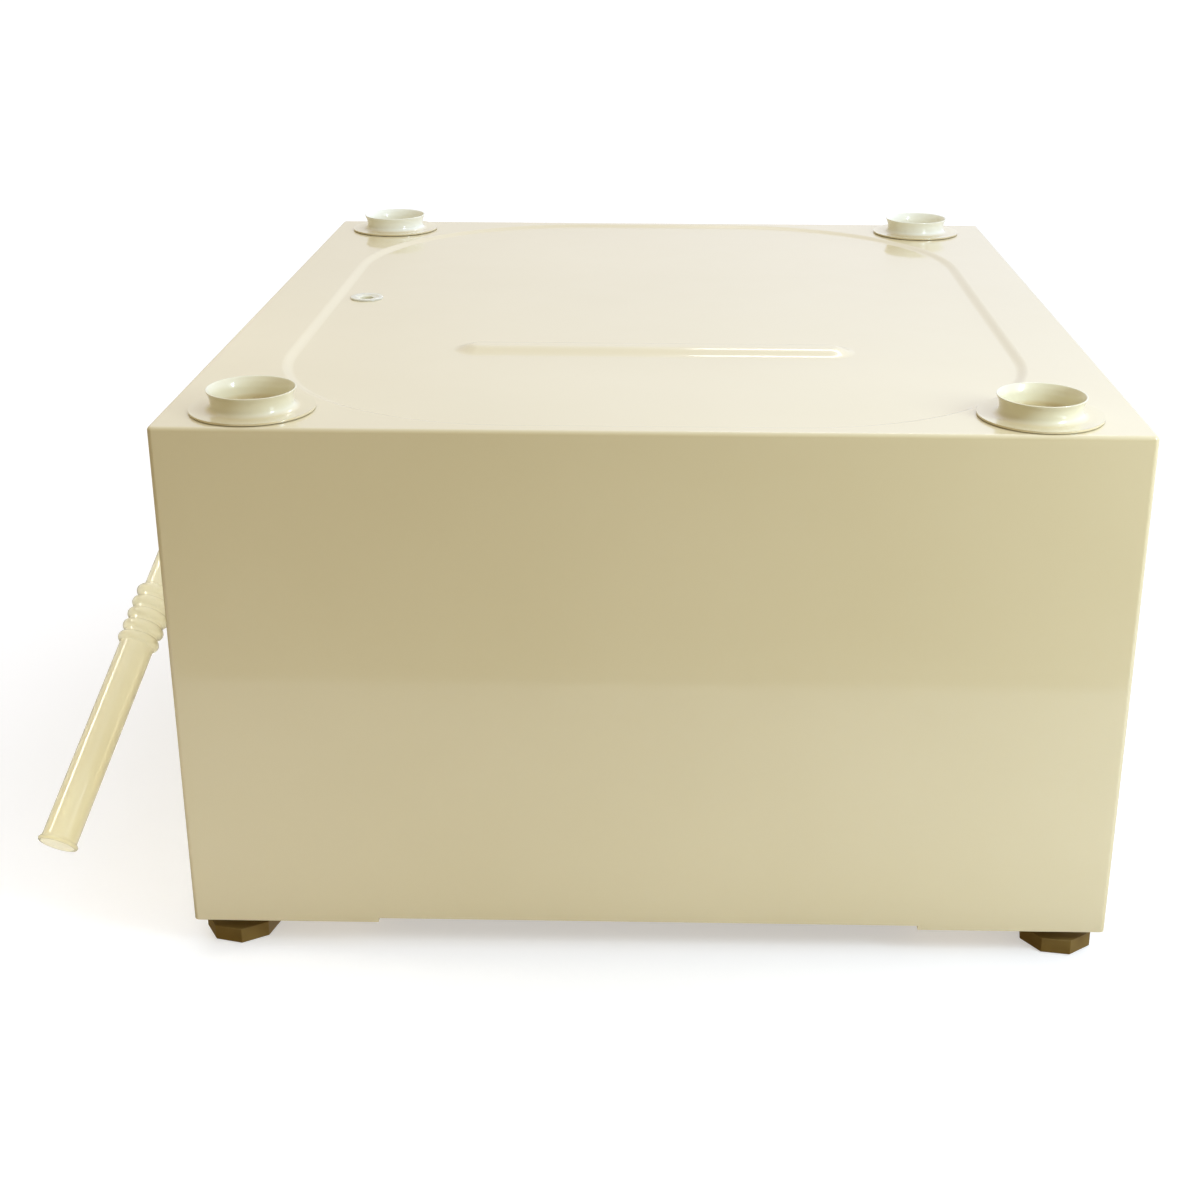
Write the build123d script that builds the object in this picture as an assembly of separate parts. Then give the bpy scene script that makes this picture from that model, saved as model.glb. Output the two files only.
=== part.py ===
from build123d import *
import math
import os

os.makedirs("parts", exist_ok=True)

# Laundry pedestal, in millimetres. The origin is on the floor under the middle of the cabinet,
# x runs to the right, y to the rear and z up.

# Cabinet of painted sheet
CABINET_W = 686.0           # over the side panels
CABINET_D = 765.0           # front sheet to the heads of the rear screws
CABINET_H = 385.5           # lower edge of the panels to the deck
PANEL_LIFT = 26.5           # floor to the lower edge of the panels
SHEET = 1.2
REAR_SHEET = 1.0
BEND_R = 4.0                # outside radius of the upright folds
DECK_BEND_R = 3.0           # outside radius of the fold along the deck's edge
DECK_SKIRT = 14.0           # height of the deck's turned-down edge
CORNER_WRAP = 14.0          # front panel's return along each side
RETURN_FLANGE = 16.0        # inward flanges of the panels
FLANGE_RELIEF = 6.0         # notch beside each corner where two flanges would meet
REAR_LAP = 8.0              # rear panel's lap behind the deck's skirt
REAR_GAP = 0.5              # around the rear panel
SEAT_GAP = 0.2              # around a neck that passes through a sheet

# Drip pan pressed into the deck
PAN_SIDE_INSET = 55.0
PAN_FRONT_INSET = 12.5
PAN_REAR_INSET = 10.0
PAN_FRONT_R = 188.0
PAN_REAR_R = 213.0
PAN_RAMP = 8.0              # width of the sloping step
PAN_DEPTH = 2.5
PAN_BLEND_R = 8.0           # where the step meets the flats
RIB_L = 322.0               # stiffening rib across the pan
RIB_W = 44.0
RIB_H = 4.5
RIB_SLOPE = 18.0
RIB_FRONT = 226.5           # front sheet to the rib's centre line

# Cups for the machine's feet
CUP_LEFT_INSET = 62.7
CUP_RIGHT_INSET = 72.1
CUP_FRONT_INSET = 46.0
CUP_REAR_INSET = 44.0
CUP_SEAT_R = 27.6           # inside radius of the waist
CUP_SEAT_TOP = 10.5         # where the wall starts to flare
CUP_RIM_R = 31.7            # outside radius of the rim
CUP_RIM_ROUND = 0.5
CUP_WALL = 1.4
CUP_H = 15.7
CUP_FLANGE_R = 44.0
CUP_LIP = 6.0               # outer band of the flange that curls up
CUP_LIP_RISE = 1.6
CUP_BLEND_R = 4.5           # between flange and wall

# Inner frame
POST_LEG = 45.0
POST_T = 1.6
BEAM_W = 60.0
BEAM_H = 30.0
BEAM_T = 1.6
PAD_R = 32.0
RAIL_H = 30.0

# Screws of the rear panel
SCREW_R = 2.0
SCREW_L = 10.0
SCREW_HEAD_R = 4.2
SCREW_HEAD_H = 2.5
SCREW_HOLE_GAP = 0.05
SCREW_EDGE = 9.0            # cabinet's side to the screws of the side columns
SIDE_SCREW_STEP = 115.0
ROW_SCREW_STEP = 230.0

# Levelling feet
FOOT_SIDE_INSET = 30.0
FOOT_END_INSET = 31.0
FOOT_SIDES = 8
FOOT_ACROSS = 52.0          # across the flats
FOOT_SIDE_H = 12.0
FOOT_TOP_ACROSS = 26.0
FOOT_TOP_RISE = 0.5
# Degrees from the front edge of each foot to the front panel, as the foot happens to be screwed
FOOT_TURN = {"front_left": -14.0, "front_right": -9.0, "rear_left": 11.0, "rear_right": 25.0}
SOLE_R = 20.0
SOLE_T = 2.6
SOLE_PROUD = 0.6            # how far the rubber stands below the octagon
SOLE_GAP = 0.3
THREAD_R = 6.0
THREAD_CLEARANCE = 0.05
STUD_SOCKET = 7.0           # stud's length in the octagon
STUD_SPARE = 20.0           # stud's length above its bush
STUD_CHAMFER = 1.0
BUSH_R = 10.0
BUSH_H = 14.0
PLATE_L = 140.0             # corner plate, along both walls
PLATE_NOSE = 55.0           # short sides of the plate's slanted inner corner
PLATE_T = 3.5
PLATE_HOLE_GAP = 0.5
NUT_ACROSS = 19.0
NUT_H = 6.0

# Drain in the deck, and its inner tube
DRAIN_SIDE_INSET = 84.0
DRAIN_FRONT = 403.5         # front sheet to the drain's axis
DRAIN_BORE_R = 6.0
DRAIN_MOUTH_R = 11.0
DRAIN_MOUTH_L = 1.4         # dished top of the bore, within the flange
DRAIN_NECK_R = 10.0
DRAIN_FLANGE_R = 14.5
DRAIN_FLANGE_T = 1.6
DRAIN_FLANGE_ROUND = 1.0
DRAIN_NECK_L = 42.0         # below the pan
DRAIN_NUT_ACROSS = 32.0
DRAIN_NUT_H = 7.0
GASKET_T = 1.5
GASKET_W = 5.0
TUBE_FIT = 0.1
TUBE_WALL = 2.2
TUBE_BEND_R = 60.0
TUBE_LOW_TURN = 1.4         # room for the lower bend, in bend radii
TUBE_HIGH_TURN = 1.03       # room for the upper bend, in bend radii
TUBE_SPARE = 2.0            # straight tube past the end of each neck
CLIP_T = 0.9
CLIP_W = 9.0
CLIP_LUG = 6.0
CLIP_INSET = 8.0            # from the end of the tube

# Outlet in the left wall, with its swivelling elbow and the hose
OUTLET_FRONT = 240.0        # front sheet to the outlet's axis
OUTLET_DROP = 114.5         # below the deck
SOCKET_FLANGE_R = 20.0
SOCKET_FLANGE_T = 3.0
SOCKET_NECK_R = 14.0
SOCKET_NECK_L = 22.0
SOCKET_TAIL_L = 28.0
SOCKET_NUT_ACROSS = 38.0
SOCKET_NUT_H = 8.0
SWIVEL_R = 11.0             # bore that the elbow turns in
SWIVEL_DEPTH = 21.0
SWIVEL_CLEARANCE = 0.05
SWIVEL_END_GAP = 0.3
SEAL_W = 3.0
SEAL_DEPTH = 1.6
SEAL_PLACE = 8.0            # from the elbow's collar
ELBOW_COLLAR_R = 16.0
ELBOW_COLLAR_T = 3.0
ELBOW_R = 12.5
ELBOW_BORE_R = 8.5
ELBOW_BEND_R = 24.0
ELBOW_LEG = 25.0            # corner of the elbow to the hose's end
ELBOW_REACH = 29.0          # left wall to the corner of the elbow
SPOUT_SWING = 48.6          # degrees, forward from straight down
SPOUT_SPLAY = 12.0          # degrees, away from the wall
HOSE_WALL = 1.3
HOSE_FIT = 0.1
HOSE_TAIL_L = 20.0          # elbow's tail inside the hose
HOSE_TOP_R = 12.0
HOSE_TOP_L = 84.8
HOSE_RIBS = 5
HOSE_RIB_PITCH = 10.4
HOSE_RIB_R = 16.3
HOSE_VALLEY_R = 11.8
HOSE_CREST = 2.4            # flat width of a crest
HOSE_LOW_R = 13.3
HOSE_LOW_L = 160.0
HOSE_LIP_L = 5.2
HOSE_LIP_R = 15.2

# Places worked out from those sizes
SIDE_X = CABINET_W / 2
FRONT_Y = -CABINET_D / 2
REAR_Y = CABINET_D / 2 - SCREW_HEAD_H
SHEET_D = REAR_Y - FRONT_Y
SHEET_MID_Y = (FRONT_Y + REAR_Y) / 2
DECK_Z = PANEL_LIFT + CABINET_H
SEAM_Z = DECK_Z - DECK_SKIRT
PAN_Z = DECK_Z - PAN_DEPTH
PAN_UNDER_Z = PAN_Z - SHEET
BEAM_LOW_Z = PAN_UNDER_Z - BEAM_H
FRAME_X = SIDE_X - SHEET
FRAME_FRONT = FRONT_Y + SHEET
FRAME_REAR = REAR_Y - SHEET - REAR_SHEET
FLANGE_TOP = PANEL_LIFT + SHEET
STUD_R = THREAD_R - THREAD_CLEARANCE
FOOT_TOP_Z = SOLE_PROUD + FOOT_SIDE_H + FOOT_TOP_RISE
CORNERS = {"front_left": (-1, -1), "front_right": (1, -1), "rear_left": (-1, 1), "rear_right": (1, 1)}


def block(low, high):
    """Box between two opposite corners."""
    size = [b - a for a, b in zip(low, high)]
    middle = [(a + b) / 2 for a, b in zip(low, high)]
    return Pos(*middle) * Box(*size)


def hexagon(across, height):
    """Hexagonal prism standing on the xy plane, given across its flats."""
    return extrude(RegularPolygon(across / 2, 6, major_radius=False), height)


def rod(radius, length):
    """Cylinder standing on the xy plane."""
    return Pos(0, 0, length / 2) * Cylinder(radius, length)


def washer(outer, inner, length):
    """Ring standing on the xy plane."""
    return rod(outer, length) - rod(inner, length)


def cup_spot(side, end):
    """Centre of a cup on the deck."""
    x = -SIDE_X + CUP_LEFT_INSET if side < 0 else SIDE_X - CUP_RIGHT_INSET
    y = FRONT_Y + CUP_FRONT_INSET if end < 0 else REAR_Y - CUP_REAR_INSET
    return x, y


def foot_spot(side, end):
    """Centre of a foot on the floor."""
    y = FRONT_Y + FOOT_END_INSET if end < 0 else REAR_Y - FOOT_END_INSET
    return side * (SIDE_X - FOOT_SIDE_INSET), y


def screw_spots():
    """Places of the rear screws: a column up each side, and a row along the top and the bottom."""
    middle_z = (PANEL_LIFT + SEAM_Z) / 2
    spots = []
    for step in (-1, 0, 1):
        for side in (-1, 1):
            spots.append((side * (SIDE_X - SCREW_EDGE), middle_z + step * SIDE_SCREW_STEP))
        spots.append((step * ROW_SCREW_STEP, SEAM_Z + REAR_LAP / 2))
        spots.append((step * ROW_SCREW_STEP, PANEL_LIFT + RAIL_H / 2))
    return spots


def screw_holes(y_low, y_high):
    """Clearance holes for the rear screws between two y planes."""
    hole = Rot(-90, 0, 0) * rod(SCREW_R + SCREW_HOLE_GAP, y_high - y_low)
    return [Pos(x, y_low, z) * hole for x, z in screw_spots()]


# Deck and panels

def tray(inset, lower_z, upper_z):
    """Solid block of the cabinet's plan, set in by an inset, with its folded upper edge."""
    plan = RectangleRounded(CABINET_W - 2 * inset, SHEET_D - 2 * inset, BEND_R - inset)
    body = extrude(Pos(0, SHEET_MID_Y, lower_z) * plan, upper_z - lower_z)
    return fillet(body.edges().group_by(Axis.Z)[-1], DECK_BEND_R - inset)


def pan_outline(inset, z):
    """Rounded outline of the drip pan, set in by an inset."""
    x = SIDE_X - PAN_SIDE_INSET - inset
    front = FRONT_Y + PAN_FRONT_INSET + inset
    rear = REAR_Y - PAN_REAR_INSET - inset
    corners = [(-x, front), (x, front), (x, rear), (-x, rear)]
    front_r = PAN_FRONT_R - inset
    rear_r = PAN_REAR_R - inset
    line = FilletPolyline(*corners, radius=[front_r, front_r, rear_r, rear_r], close=True)
    return Pos(0, 0, z) * make_face(line)


def pan_hollow(z):
    """Space of the drip pan, from its upper outline at z down to its floor."""
    return loft([pan_outline(0, z), pan_outline(PAN_RAMP, z - PAN_DEPTH)], ruled=True)


def rib_form(z):
    """Stiffening rib standing on the level z."""
    low = SlotOverall(RIB_L, RIB_W)
    high = SlotOverall(RIB_L - 2 * RIB_SLOPE, RIB_W - 2 * RIB_SLOPE)
    place = Pos(0, FRONT_Y + RIB_FRONT, z)
    return loft([place * low, place * Pos(0, 0, RIB_H) * high], ruled=True)


def drain_place(z):
    """Location on the drain's axis at the level z."""
    return Pos(-SIDE_X + DRAIN_SIDE_INSET, FRONT_Y + DRAIN_FRONT, z)


def make_deck_pan():
    deck = tray(0, SEAM_Z, DECK_Z) - tray(SHEET, SEAM_Z, DECK_Z - SHEET)
    deck = deck + pan_hollow(DECK_Z - SHEET)
    deck = deck - pan_hollow(DECK_Z)
    pan_half = SIDE_X - PAN_SIDE_INSET + SHEET
    for level in (DECK_Z, PAN_Z):
        at_level = deck.edges().filter_by_position(Axis.Z, level - SHEET / 4, level + SHEET / 4)
        step = [edge for edge in at_level if abs(edge.center().X) < pan_half]
        step = [edge for edge in step if FRONT_Y + BEND_R < edge.center().Y < REAR_Y - BEND_R]
        deck = fillet(step, PAN_BLEND_R)
    deck = deck + rib_form(PAN_Z)
    deck = deck - rib_form(PAN_UNDER_Z)
    deck = deck - drain_place(PAN_UNDER_Z) * rod(DRAIN_NECK_R + SEAT_GAP, SHEET)
    for hole in screw_holes(REAR_Y - SHEET, REAR_Y):
        deck = deck - hole
    return deck


def wall_ring():
    """Upright walls of the cabinet in one ring, before they are parted into panels."""
    outer = RectangleRounded(CABINET_W, SHEET_D, BEND_R)
    inner = RectangleRounded(CABINET_W - 2 * SHEET, SHEET_D - 2 * SHEET, BEND_R - SHEET)
    return extrude(Pos(0, SHEET_MID_Y, PANEL_LIFT) * (outer - inner), SEAM_Z - PANEL_LIFT)


def make_front_panel():
    front = block((-SIDE_X, FRONT_Y, PANEL_LIFT), (SIDE_X, FRONT_Y + CORNER_WRAP, SEAM_Z))
    reach = FRAME_X - RETURN_FLANGE - FLANGE_RELIEF
    flange = block((-reach, FRAME_FRONT, PANEL_LIFT), (reach, FRONT_Y + RETURN_FLANGE, FLANGE_TOP))
    return (wall_ring() & front) + flange


def make_side_panel(side):
    inner_x = side * (SIDE_X - RETURN_FLANGE)
    low_x, high_x = sorted((side * SIDE_X, inner_x))
    strip = block((low_x, FRONT_Y + CORNER_WRAP, PANEL_LIFT), (high_x, REAR_Y, SEAM_Z))
    low_x, high_x = sorted((side * FRAME_X, inner_x))
    flange_front = FRONT_Y + RETURN_FLANGE + FLANGE_RELIEF
    flange_rear = REAR_Y - RETURN_FLANGE - FLANGE_RELIEF
    flange = block((low_x, flange_front, PANEL_LIFT), (high_x, flange_rear, FLANGE_TOP))
    panel = (wall_ring() & strip) + flange
    for hole in screw_holes(REAR_Y - SHEET, REAR_Y):
        panel = panel - hole
    if side < 0:
        panel = panel - outlet_place(0) * rod(SOCKET_NECK_R + SEAT_GAP, SHEET)
    return panel


def make_rear_panel():
    x = SIDE_X - BEND_R - REAR_GAP
    low_z = FLANGE_TOP + REAR_GAP
    panel = block((-x, FRAME_REAR, low_z), (x, FRAME_REAR + REAR_SHEET, SEAM_Z + REAR_LAP))
    for hole in screw_holes(FRAME_REAR, FRAME_REAR + REAR_SHEET):
        panel = panel - hole
    return panel


def make_rear_base_rail():
    x = SIDE_X - RETURN_FLANGE
    upright = block((-x, REAR_Y - SHEET, PANEL_LIFT), (x, REAR_Y, PANEL_LIFT + RAIL_H))
    foot = block((-x, REAR_Y - RETURN_FLANGE, PANEL_LIFT), (x, REAR_Y - SHEET, FLANGE_TOP))
    rail = upright + foot
    for hole in screw_holes(REAR_Y - SHEET, REAR_Y):
        rail = rail - hole
    return rail


def make_rear_screws():
    shank = rod(SCREW_R, SCREW_L)
    head = Pos(0, 0, -SCREW_HEAD_H) * rod(SCREW_HEAD_R, SCREW_HEAD_H)
    head = fillet(head.edges().group_by(Axis.Z)[0], SCREW_HEAD_H / 2)
    slot_w = SCREW_R / 2
    for turn in (0, 90):
        head = head - Rot(0, 0, turn) * Pos(0, 0, -SCREW_HEAD_H) * Box(SCREW_HEAD_R, slot_w, SCREW_HEAD_H)
    screw = Rot(90, 0, 0) * (shank + head)
    return Compound(children=[Pos(x, REAR_Y, z) * screw for x, z in screw_spots()])


# Inner frame

def make_corner_post(side, end):
    width = 2 * FRAME_X
    depth = FRAME_REAR - FRAME_FRONT
    plan = RectangleRounded(width, depth, BEND_R)
    plan = plan - RectangleRounded(width - 2 * POST_T, depth - 2 * POST_T, BEND_R - POST_T)
    height = BEAM_LOW_Z - FLANGE_TOP
    ring = extrude(Pos(0, (FRAME_FRONT + FRAME_REAR) / 2, FLANGE_TOP) * plan, height)
    low_x, high_x = sorted((side * FRAME_X, side * (FRAME_X - POST_LEG)))
    outer_y = FRAME_FRONT if end < 0 else FRAME_REAR
    low_y, high_y = sorted((outer_y, outer_y - end * POST_LEG))
    post = ring & block((low_x, low_y, FLANGE_TOP), (high_x, high_y, BEAM_LOW_Z))
    if end > 0:
        for hole in screw_holes(FRAME_REAR - POST_T, FRAME_REAR):
            post = post - hole
    return post


def make_deck_beam(end):
    middle_y = cup_spot(-1, end)[1]
    low_y = middle_y - BEAM_W / 2
    high_y = middle_y + BEAM_W / 2
    outer = block((-FRAME_X, low_y, BEAM_LOW_Z), (FRAME_X, high_y, PAN_UNDER_Z))
    inner_low = (-FRAME_X, low_y + BEAM_T, BEAM_LOW_Z)
    inner_high = (FRAME_X, high_y - BEAM_T, PAN_UNDER_Z - BEAM_T)
    return outer - block(inner_low, inner_high)


def make_deck_pads():
    height = DECK_Z - SHEET - PAN_UNDER_Z
    spots = [cup_spot(*corner) for corner in CORNERS.values()]
    return Compound(children=[Pos(x, y, PAN_UNDER_Z) * rod(PAD_R, height) for x, y in spots])


# Cups and feet

def make_foot_cup(side, end):
    lip_r = CUP_FLANGE_R - CUP_LIP
    wall_r = CUP_SEAT_R + CUP_WALL
    inside = [(CUP_FLANGE_R, CUP_LIP_RISE), (lip_r, 0), (CUP_SEAT_R, 0), (CUP_SEAT_R, CUP_SEAT_TOP)]
    rim = [(CUP_RIM_R - CUP_WALL, CUP_H), (CUP_RIM_R, CUP_H)]
    outside = [(wall_r, CUP_SEAT_TOP), (wall_r, CUP_WALL), (lip_r, CUP_WALL)]
    outside.append((CUP_FLANGE_R, CUP_LIP_RISE + CUP_WALL))
    radii = [0, 0, CUP_BLEND_R + CUP_WALL, 0, CUP_RIM_ROUND, CUP_RIM_ROUND, 0, CUP_BLEND_R, 0, 0]
    line = FilletPolyline(*inside, *rim, *outside, radius=radii, close=True)
    cup = revolve(Plane.XZ * make_face(line), Axis.Z)
    x, y = cup_spot(side, end)
    return Pos(x, y, DECK_Z) * cup


def make_foot_plate(side, end):
    wall_y = FRONT_Y if end < 0 else REAR_Y
    inner_x = side * (SIDE_X - PLATE_L)
    inner_y = wall_y - end * PLATE_L
    nose = [(inner_x, wall_y - end * PLATE_NOSE), (side * (SIDE_X - PLATE_NOSE), inner_y)]
    corners = [(side * SIDE_X, wall_y), (inner_x, wall_y), *nose, (side * SIDE_X, inner_y)]
    line = FilletPolyline(*corners, radius=[BEND_R, 0, 0, 0, 0], close=True)
    plate = extrude(Pos(0, 0, PANEL_LIFT) * make_face(line), -PLATE_T, dir=(0, 0, 1))
    x, y = foot_spot(side, end)
    hole = rod(THREAD_R + PLATE_HOLE_GAP, PLATE_T)
    return plate - Pos(x, y, PANEL_LIFT - PLATE_T) * hole


def make_foot_bush(side, end):
    x, y = foot_spot(side, end)
    return Pos(x, y, PANEL_LIFT) * washer(BUSH_R, THREAD_R, BUSH_H)


def make_foot_base(side, end, turn):
    low = RegularPolygon(FOOT_ACROSS / 2, FOOT_SIDES, major_radius=False)
    high = RegularPolygon(FOOT_TOP_ACROSS / 2, FOOT_SIDES, major_radius=False)
    shoulder = SOLE_PROUD + FOOT_SIDE_H
    base = extrude(Pos(0, 0, SOLE_PROUD) * low, FOOT_SIDE_H)
    base = base + loft([Pos(0, 0, shoulder) * low, Pos(0, 0, FOOT_TOP_Z) * high], ruled=True)
    base = base - rod(SOLE_R + SOLE_GAP, SOLE_T)
    base = base - Pos(0, 0, FOOT_TOP_Z - STUD_SOCKET) * rod(STUD_R, STUD_SOCKET)
    x, y = foot_spot(side, end)
    half_side = 180 / FOOT_SIDES
    return Pos(x, y, 0) * Rot(0, 0, turn + half_side) * base


def make_foot_sole(side, end):
    x, y = foot_spot(side, end)
    return Pos(x, y, 0) * rod(SOLE_R, SOLE_T)


def make_foot_stud(side, end):
    low_z = FOOT_TOP_Z - STUD_SOCKET
    stud = rod(STUD_R, PANEL_LIFT + BUSH_H + STUD_SPARE - low_z)
    stud = chamfer(stud.edges().group_by(Axis.Z)[-1], STUD_CHAMFER)
    x, y = foot_spot(side, end)
    return Pos(x, y, low_z) * stud


def make_lock_nut(side, end):
    nut = hexagon(NUT_ACROSS, NUT_H) - rod(THREAD_R, NUT_H)
    x, y = foot_spot(side, end)
    return Pos(x, y, PANEL_LIFT - PLATE_T - NUT_H) * nut


# Drain in the deck and the tube under it

def make_drain_spigot():
    flange = fillet(rod(DRAIN_FLANGE_R, DRAIN_FLANGE_T).edges().group_by(Axis.Z)[-1], DRAIN_FLANGE_ROUND)
    neck = Pos(0, 0, -SHEET - DRAIN_NECK_L) * rod(DRAIN_NECK_R, SHEET + DRAIN_NECK_L)
    bore_l = DRAIN_FLANGE_T + SHEET + DRAIN_NECK_L
    bore = Pos(0, 0, -SHEET - DRAIN_NECK_L) * rod(DRAIN_BORE_R, bore_l)
    mouth_place = Pos(0, 0, DRAIN_FLANGE_T - DRAIN_MOUTH_L / 2)
    mouth = mouth_place * Cone(DRAIN_BORE_R, DRAIN_MOUTH_R, DRAIN_MOUTH_L)
    return drain_place(PAN_Z) * (flange + neck - bore - mouth)


def make_drain_gasket():
    ring = washer(DRAIN_NECK_R + GASKET_W, DRAIN_NECK_R + SEAT_GAP, GASKET_T)
    return drain_place(PAN_UNDER_Z - GASKET_T) * ring


def make_drain_nut():
    nut = hexagon(DRAIN_NUT_ACROSS, DRAIN_NUT_H) - rod(DRAIN_NECK_R + SEAT_GAP, DRAIN_NUT_H)
    return drain_place(PAN_UNDER_Z - GASKET_T - DRAIN_NUT_H) * nut


def outlet_place(inward):
    """Location on the outlet's axis, a distance inward of the left wall's outer face, looking inward."""
    return Pos(-SIDE_X + inward, FRONT_Y + OUTLET_FRONT, DECK_Z - OUTLET_DROP) * Rot(0, 90, 0)


TUBE_IN_R = DRAIN_NECK_R + TUBE_FIT
TUBE_OUT_R = TUBE_IN_R + TUBE_WALL


def tube_points():
    """Route of the inner tube, from the outlet's shoulder to the underside of the drain's nut."""
    start = outlet_place(SOCKET_NECK_L).position
    top = drain_place(PAN_UNDER_Z - GASKET_T - DRAIN_NUT_H).position
    neck_end = drain_place(PAN_UNDER_Z - DRAIN_NECK_L).position
    low_corner = start + Vector(SOCKET_TAIL_L + TUBE_SPARE + TUBE_BEND_R * TUBE_LOW_TURN, 0, 0)
    high_corner = neck_end - Vector(0, 0, TUBE_SPARE + TUBE_BEND_R * TUBE_HIGH_TURN)
    return [start, low_corner, high_corner, top]


def make_drain_tube():
    path = FilletPolyline(*tube_points(), radius=TUBE_BEND_R)
    ring = Circle(TUBE_OUT_R) - Circle(TUBE_IN_R)
    tube = sweep(Plane(origin=path @ 0, z_dir=path % 0) * ring, path=path)
    area = math.pi * (TUBE_OUT_R ** 2 - TUBE_IN_R ** 2)
    print("inner tube, length", round(path.length, 1), "volume ratio", round(tube.volume / area / path.length, 4))
    return tube


def tube_clip():
    band = washer(TUBE_OUT_R + TUBE_FIT + CLIP_T, TUBE_OUT_R + TUBE_FIT, CLIP_W)
    lug_x = TUBE_OUT_R + TUBE_FIT + CLIP_T / 2
    lug = block((lug_x, -CLIP_LUG / 2, 0), (lug_x + CLIP_LUG, CLIP_LUG / 2, CLIP_W))
    return band + lug


def make_upper_tube_clip():
    drop = GASKET_T + DRAIN_NUT_H + CLIP_INSET + CLIP_W
    return drain_place(PAN_UNDER_Z - drop) * tube_clip()


def make_lower_tube_clip():
    return outlet_place(SOCKET_NECK_L + CLIP_INSET) * tube_clip()


# Outlet, elbow and hose

SOCKET_FACE = -GASKET_T - SOCKET_FLANGE_T
COLLAR_FACE = SOCKET_FACE - SWIVEL_END_GAP
ELBOW_START = COLLAR_FACE - ELBOW_COLLAR_T


def make_outlet_socket():
    flange = outlet_place(SOCKET_FACE) * rod(SOCKET_FLANGE_R, SOCKET_FLANGE_T)
    neck = outlet_place(-GASKET_T) * rod(SOCKET_NECK_R, GASKET_T + SOCKET_NECK_L)
    tail = outlet_place(SOCKET_NECK_L) * rod(DRAIN_NECK_R, SOCKET_TAIL_L)
    swivel = outlet_place(SOCKET_FACE) * rod(SWIVEL_R, SWIVEL_DEPTH)
    bore = outlet_place(SOCKET_FACE) * rod(DRAIN_BORE_R, SOCKET_NECK_L + SOCKET_TAIL_L - SOCKET_FACE)
    return flange + neck + tail - swivel - bore


def make_outlet_gasket():
    ring = washer(SOCKET_FLANGE_R, SOCKET_NECK_R + SEAT_GAP, GASKET_T)
    return outlet_place(-GASKET_T) * ring


def make_outlet_nut():
    nut = hexagon(SOCKET_NUT_ACROSS, SOCKET_NUT_H) - rod(SOCKET_NECK_R + SEAT_GAP, SOCKET_NUT_H)
    return outlet_place(SHEET) * nut


def spout_direction():
    """Unit vector from the elbow's corner to the mouth of the hose."""
    swing = math.radians(SPOUT_SWING)
    splay = math.radians(SPOUT_SPLAY)
    forward = math.cos(splay) * math.sin(swing)
    down = math.cos(splay) * math.cos(swing)
    return Vector(-math.sin(splay), -forward, -down)


def spout_plane(distance):
    """Plane square to the hose at a distance from the elbow's corner, on a steady x direction."""
    corner = outlet_place(-ELBOW_REACH).position
    along = spout_direction()
    steady = Vector(1, 0, 0) - along * along.X
    return Plane(origin=corner + along * distance, x_dir=steady, z_dir=along)


def make_spout_elbow():
    corner = outlet_place(-ELBOW_REACH).position
    start = outlet_place(ELBOW_START).position
    end = spout_plane(ELBOW_LEG).origin
    path = FilletPolyline(start, corner, end, radius=ELBOW_BEND_R)
    ring = Circle(ELBOW_R) - Circle(ELBOW_BORE_R)
    bend = sweep(Plane(origin=start, z_dir=path % 0) * ring, path=path)
    collar = outlet_place(ELBOW_START) * washer(ELBOW_COLLAR_R, ELBOW_BORE_R, ELBOW_COLLAR_T)
    pin_r = SWIVEL_R - SWIVEL_CLEARANCE
    pin_l = SWIVEL_DEPTH - 2 * SWIVEL_END_GAP
    pin = outlet_place(COLLAR_FACE) * washer(pin_r, ELBOW_BORE_R, pin_l)
    groove = outlet_place(COLLAR_FACE + SEAL_PLACE) * washer(pin_r, pin_r - SEAL_DEPTH, SEAL_W)
    tail_r = HOSE_TOP_R - HOSE_WALL - HOSE_FIT
    tail = spout_plane(ELBOW_LEG).location * washer(tail_r, ELBOW_BORE_R, HOSE_TAIL_L)
    return bend + collar + (pin - groove) + tail


def make_elbow_seal():
    outer = SWIVEL_R - SWIVEL_CLEARANCE
    return outlet_place(COLLAR_FACE + SEAL_PLACE) * washer(outer, outer - SEAL_DEPTH, SEAL_W)


def hose_stations():
    """Outline of the hose as pairs of distance along it and outside radius."""
    stations = [(0, HOSE_TOP_R), (HOSE_TOP_L, HOSE_TOP_R)]
    slope = (HOSE_RIB_PITCH - 2 * HOSE_CREST) / 2
    for rib in range(HOSE_RIBS):
        start = HOSE_TOP_L + rib * HOSE_RIB_PITCH + HOSE_CREST / 2
        stations.append((start, HOSE_VALLEY_R))
        stations.append((start + slope, HOSE_RIB_R))
        stations.append((start + slope + HOSE_CREST, HOSE_RIB_R))
        stations.append((start + 2 * slope + HOSE_CREST, HOSE_VALLEY_R))
    low_start = HOSE_TOP_L + HOSE_RIBS * HOSE_RIB_PITCH
    lip_start = low_start + HOSE_LOW_L
    stations.append((low_start, HOSE_LOW_R))
    stations.append((lip_start, HOSE_LOW_R))
    stations.append((lip_start + HOSE_LIP_L, HOSE_LIP_R))
    return stations


def hose_form(inset):
    """Ruled loft through the hose's circles, each made smaller by an inset."""
    circles = [spout_plane(ELBOW_LEG + along) * Circle(radius - inset) for along, radius in hose_stations()]
    return loft(circles, ruled=True)


def make_drain_hose():
    length = hose_stations()[-1][0]
    mouth = spout_plane(ELBOW_LEG + length).origin
    exit_point = spout_plane(ELBOW_LEG).origin
    print("hose, length", length, "exit", exit_point, "mouth", mouth)
    return hose_form(0) - hose_form(HOSE_WALL)


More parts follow.
